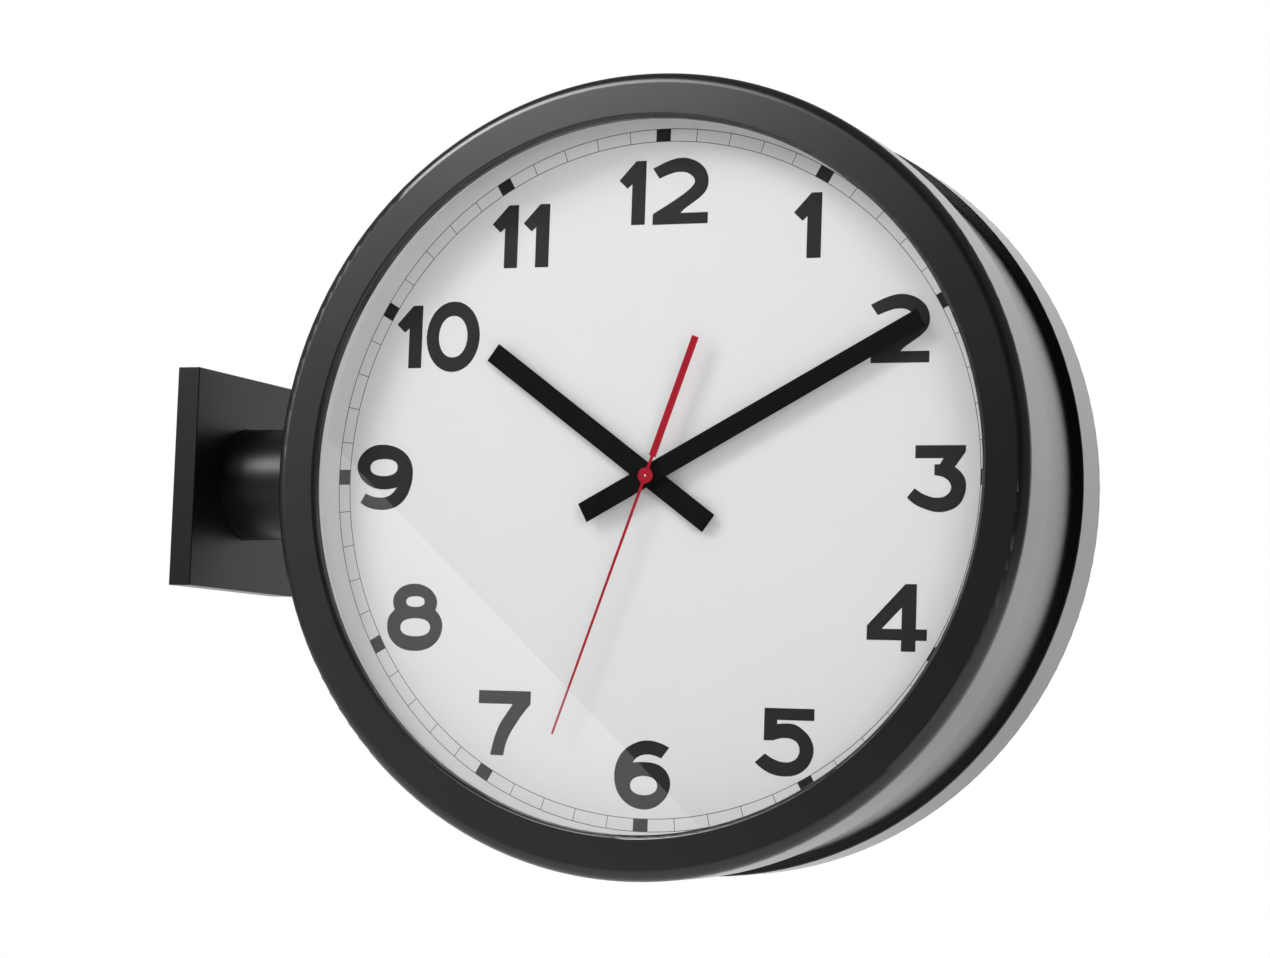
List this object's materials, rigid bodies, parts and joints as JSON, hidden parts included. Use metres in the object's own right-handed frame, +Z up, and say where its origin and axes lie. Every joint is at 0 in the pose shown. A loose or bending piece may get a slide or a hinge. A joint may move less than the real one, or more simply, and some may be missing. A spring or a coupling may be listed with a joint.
{
  "type": "double sided station clock",
  "caption": "Round wall clock for a platform or corridor, a dial and three hands on each face, a black drum housing on a short round arm with a square wall plate.",
  "frame": {"origin": "centre of the back face of the wall base plate, on the wall", "axes": "+X leaves the wall along the arm to the clock, +Z is up, the front dial looks along -Y and the rear dial along +Y"},
  "size_m": [0.446, 0.1342, 0.38],
  "materials": {
    "black_enamel": "satin black stove enamel on steel sheet",
    "gasket_rubber": "dull black seal",
    "clear_glass": "clear flat glass with a ground edge",
    "white_moulding": "smooth white moulding",
    "dial_white": "matt white paint on aluminium sheet",
    "black_moulding": "fine grained black moulding",
    "black_screw": "blackened steel",
    "zinc_steel": "zinc plated steel",
    "case_black": "black moulded case",
    "nut_brass": "turned brass",
    "pinion_brass": "cut brass",
    "wheel_white": "natural white moulded wheels",
    "rotor_dark": "dark sintered magnet",
    "knob_white": "natural white moulding",
    "core_steel": "soft iron sheet",
    "coil_copper": "enamelled copper wire",
    "cell_jacket": "plain dark printed jacket",
    "contact_nickel": "nickel plated spring steel",
    "hand_black": "matt black paint on aluminium",
    "hand_red": "matt red paint on aluminium"
  },
  "bodies": {
    "housing": {"waist_drum": "black_enamel", "arm_tube": "black_enamel", "arm_saddle": "zinc_steel", "arm_screws": "zinc_steel", "wall_base_plate": "zinc_steel", "wall_cover": "black_enamel", "cover_screws": "black_screw", "head_screws": "black_screw", "front_bezel": "black_enamel", "front_shell": "black_enamel", "front_lens_gasket": "gasket_rubber", "front_lens": "clear_glass", "front_reveal_ring": "white_moulding", "front_dial": "dial_white", "front_dial_carrier": "black_moulding", "front_movement_case": "case_black", "front_movement_cover": "case_black", "front_bush_nut": "nut_brass", "front_stator": "core_steel", "front_coil": "coil_copper", "front_battery": "cell_jacket", "front_battery_contacts": "contact_nickel", "rear_bezel": "black_enamel", "rear_shell": "black_enamel", "rear_lens_gasket": "gasket_rubber", "rear_lens": "clear_glass", "rear_reveal_ring": "white_moulding", "rear_dial": "dial_white", "rear_dial_carrier": "black_moulding", "rear_movement_case": "case_black", "rear_movement_cover": "case_black", "rear_bush_nut": "nut_brass", "rear_stator": "core_steel", "rear_coil": "coil_copper", "rear_battery": "cell_jacket", "rear_battery_contacts": "contact_nickel"},
    "front_hour_body": {"front_hour_hand": "hand_black", "front_hour_wheel": "wheel_white"},
    "front_minute_body": {"front_minute_hand": "hand_black", "front_cannon_pinion": "pinion_brass"},
    "front_second_body": {"front_second_hand": "hand_red", "front_second_wheel": "wheel_white"},
    "front_reverse_wheel_body": {"front_reverse_wheel": "wheel_white"},
    "front_setting_knob_body": {"front_setting_knob": "knob_white"},
    "front_third_wheel_body": {"front_third_wheel": "wheel_white"},
    "front_centre_wheel_body": {"front_centre_wheel": "wheel_white"},
    "front_fifth_wheel_body": {"front_fifth_wheel": "wheel_white"},
    "front_rotor_body": {"front_rotor": "rotor_dark"},
    "rear_hour_body": {"rear_hour_hand": "hand_black", "rear_hour_wheel": "wheel_white"},
    "rear_minute_body": {"rear_minute_hand": "hand_black", "rear_cannon_pinion": "pinion_brass"},
    "rear_second_body": {"rear_second_hand": "hand_red", "rear_second_wheel": "wheel_white"},
    "rear_reverse_wheel_body": {"rear_reverse_wheel": "wheel_white"},
    "rear_setting_knob_body": {"rear_setting_knob": "knob_white"},
    "rear_third_wheel_body": {"rear_third_wheel": "wheel_white"},
    "rear_centre_wheel_body": {"rear_centre_wheel": "wheel_white"},
    "rear_fifth_wheel_body": {"rear_fifth_wheel": "wheel_white"},
    "rear_rotor_body": {"rear_rotor": "rotor_dark"}
  },
  "joints": [
    {"name": "front_hour_spin", "type": "hinge", "parent": "housing", "child": "front_hour_body", "pos_m": [0.256, -0.0425, 0], "axis": [0, 1, 0], "continuous": true},
    {"name": "front_minute_spin", "type": "hinge", "parent": "housing", "child": "front_minute_body", "pos_m": [0.256, -0.0425, 0], "axis": [0, 1, 0], "continuous": true},
    {"name": "front_second_spin", "type": "hinge", "parent": "housing", "child": "front_second_body", "pos_m": [0.256, -0.0425, 0], "axis": [0, 1, 0], "continuous": true},
    {"name": "front_reverse_wheel_spin", "type": "hinge", "parent": "housing", "child": "front_reverse_wheel_body", "pos_m": [0.26615, -0.0425, 0.00369], "axis": [0, 1, 0], "continuous": true},
    {"name": "front_setting_knob_spin", "type": "hinge", "parent": "housing", "child": "front_setting_knob_body", "pos_m": [0.27678, -0.0425, 0.00182], "axis": [0, 1, 0], "continuous": true},
    {"name": "front_third_wheel_spin", "type": "hinge", "parent": "housing", "child": "front_third_wheel_body", "pos_m": [0.24642, -0.0425, 0.00349], "axis": [0, 1, 0], "continuous": true},
    {"name": "front_centre_wheel_spin", "type": "hinge", "parent": "housing", "child": "front_centre_wheel_body", "pos_m": [0.256, -0.0425, 0], "axis": [0, 1, 0], "continuous": true},
    {"name": "front_fifth_wheel_spin", "type": "hinge", "parent": "housing", "child": "front_fifth_wheel_body", "pos_m": [0.256, -0.0425, 0.0108], "axis": [0, 1, 0], "continuous": true},
    {"name": "front_rotor_spin", "type": "hinge", "parent": "housing", "child": "front_rotor_body", "pos_m": [0.25964, -0.0425, 0.0171], "axis": [0, 1, 0], "continuous": true},
    {"name": "rear_hour_spin", "type": "hinge", "parent": "housing", "child": "rear_hour_body", "pos_m": [0.256, 0.0425, 0], "axis": [0, -1, 0], "continuous": true},
    {"name": "rear_minute_spin", "type": "hinge", "parent": "housing", "child": "rear_minute_body", "pos_m": [0.256, 0.0425, 0], "axis": [0, -1, 0], "continuous": true},
    {"name": "rear_second_spin", "type": "hinge", "parent": "housing", "child": "rear_second_body", "pos_m": [0.256, 0.0425, 0], "axis": [0, -1, 0], "continuous": true},
    {"name": "rear_reverse_wheel_spin", "type": "hinge", "parent": "housing", "child": "rear_reverse_wheel_body", "pos_m": [0.24585, 0.0425, 0.00369], "axis": [0, -1, 0], "continuous": true},
    {"name": "rear_setting_knob_spin", "type": "hinge", "parent": "housing", "child": "rear_setting_knob_body", "pos_m": [0.23522, 0.0425, 0.00182], "axis": [0, -1, 0], "continuous": true},
    {"name": "rear_third_wheel_spin", "type": "hinge", "parent": "housing", "child": "rear_third_wheel_body", "pos_m": [0.26558, 0.0425, 0.00349], "axis": [0, -1, 0], "continuous": true},
    {"name": "rear_centre_wheel_spin", "type": "hinge", "parent": "housing", "child": "rear_centre_wheel_body", "pos_m": [0.256, 0.0425, 0], "axis": [0, -1, 0], "continuous": true},
    {"name": "rear_fifth_wheel_spin", "type": "hinge", "parent": "housing", "child": "rear_fifth_wheel_body", "pos_m": [0.256, 0.0425, 0.0108], "axis": [0, -1, 0], "continuous": true},
    {"name": "rear_rotor_spin", "type": "hinge", "parent": "housing", "child": "rear_rotor_body", "pos_m": [0.25236, 0.0425, 0.0171], "axis": [0, -1, 0], "continuous": true}
  ],
  "couplings": [
    {"joint": "front_hour_spin", "follows": "front_minute_spin", "ratio": 0.083333},
    {"joint": "front_reverse_wheel_spin", "follows": "front_minute_spin", "ratio": -0.33333},
    {"joint": "front_setting_knob_spin", "follows": "front_minute_spin", "ratio": 1},
    {"joint": "front_third_wheel_spin", "follows": "front_second_spin", "ratio": -0.13333},
    {"joint": "front_centre_wheel_spin", "follows": "front_second_spin", "ratio": 0.016667},
    {"joint": "front_fifth_wheel_spin", "follows": "front_second_spin", "ratio": -5},
    {"joint": "front_rotor_spin", "follows": "front_second_spin", "ratio": 30},
    {"joint": "rear_hour_spin", "follows": "rear_minute_spin", "ratio": 0.083333},
    {"joint": "rear_reverse_wheel_spin", "follows": "rear_minute_spin", "ratio": -0.33333},
    {"joint": "rear_setting_knob_spin", "follows": "rear_minute_spin", "ratio": 1},
    {"joint": "rear_third_wheel_spin", "follows": "rear_second_spin", "ratio": -0.13333},
    {"joint": "rear_centre_wheel_spin", "follows": "rear_second_spin", "ratio": 0.016667},
    {"joint": "rear_fifth_wheel_spin", "follows": "rear_second_spin", "ratio": -5},
    {"joint": "rear_rotor_spin", "follows": "rear_second_spin", "ratio": 30}
  ]
}
